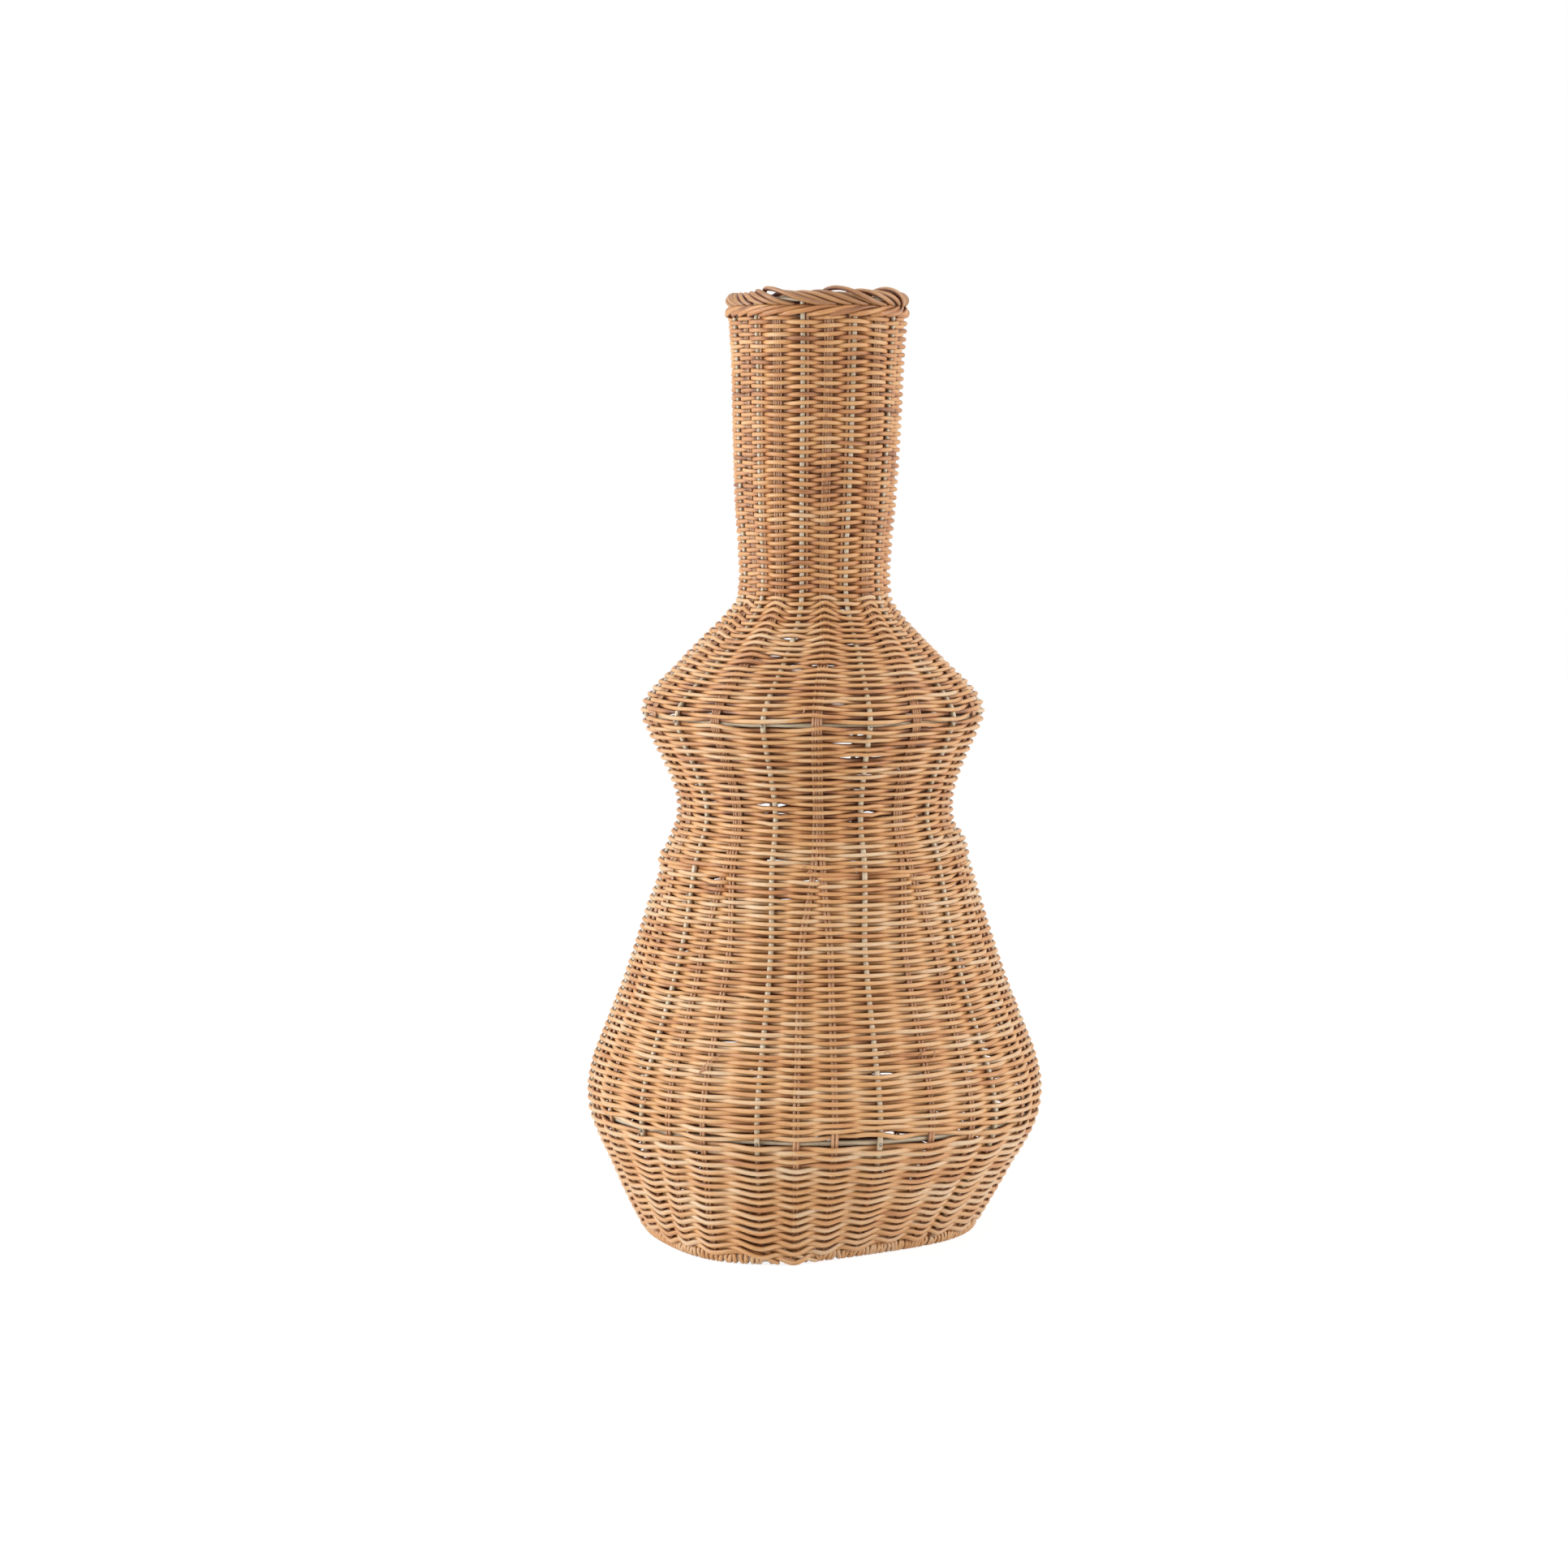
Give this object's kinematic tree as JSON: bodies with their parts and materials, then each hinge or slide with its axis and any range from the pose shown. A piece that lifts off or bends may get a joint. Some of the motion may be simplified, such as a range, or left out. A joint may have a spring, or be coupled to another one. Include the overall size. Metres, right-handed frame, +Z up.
{
  "type": "woven rattan floor vase",
  "caption": "Tall vase woven from round rattan core: narrow neck, ringed shoulder, drawn-in waist and bell-shaped belly on a small foot, with a rolled rim.",
  "frame": {"origin": "centre of the foot on the surface that the vase stands on, under the middle of the belly", "axes": "+Z up along the vase, -Y towards the side that the picture shows, +X to its right"},
  "size_m": [0.295, 0.2916, 0.6002],
  "materials": {
    "weaver_core": "natural round rattan core, honey tan, semi-matt, woven over and under the stakes",
    "stake_core": "thin rattan core strands, reddish tan, semi-matt",
    "frame_cane": "natural cane with its skin on, grey-green beige, slight sheen"
  },
  "bodies": {
    "root": {"base_binding": "weaver_core", "base_hoop": "frame_cane", "belly_hoop": "frame_cane", "belly_weave": "weaver_core", "bowl_weave": "weaver_core", "floor_stick_1": "frame_cane", "floor_stick_2": "frame_cane", "floor_stick_3": "frame_cane", "floor_stick_4": "frame_cane", "floor_stick_5": "frame_cane", "floor_stick_6": "frame_cane", "floor_stick_7": "frame_cane", "floor_stick_8": "frame_cane", "floor_weave": "weaver_core", "neck_weave": "weaver_core", "rim_border": "weaver_core", "rim_wale": "weaver_core", "shoulder_hoop": "frame_cane", "shoulder_weave": "weaver_core", "stake_pair_01a": "stake_core", "stake_pair_01b": "stake_core", "stake_pair_02a": "stake_core", "stake_pair_02b": "stake_core", "stake_pair_03a": "stake_core", "stake_pair_03b": "stake_core", "stake_pair_04a": "stake_core", "stake_pair_04b": "stake_core", "stake_pair_05a": "stake_core", "stake_pair_05b": "stake_core", "stake_pair_06a": "stake_core", "stake_pair_06b": "stake_core", "stake_pair_07a": "stake_core", "stake_pair_07b": "stake_core", "stake_pair_08a": "stake_core", "stake_pair_08b": "stake_core", "stake_pair_09a": "stake_core", "stake_pair_09b": "stake_core", "stake_pair_10a": "stake_core", "stake_pair_10b": "stake_core", "upright_01": "frame_cane", "upright_02": "frame_cane", "upright_03": "frame_cane", "upright_04": "frame_cane", "upright_05": "frame_cane", "upright_06": "frame_cane", "upright_07": "frame_cane", "upright_08": "frame_cane", "upright_09": "frame_cane", "upright_10": "frame_cane", "waist_weave": "weaver_core"}
  },
  "joints": []
}
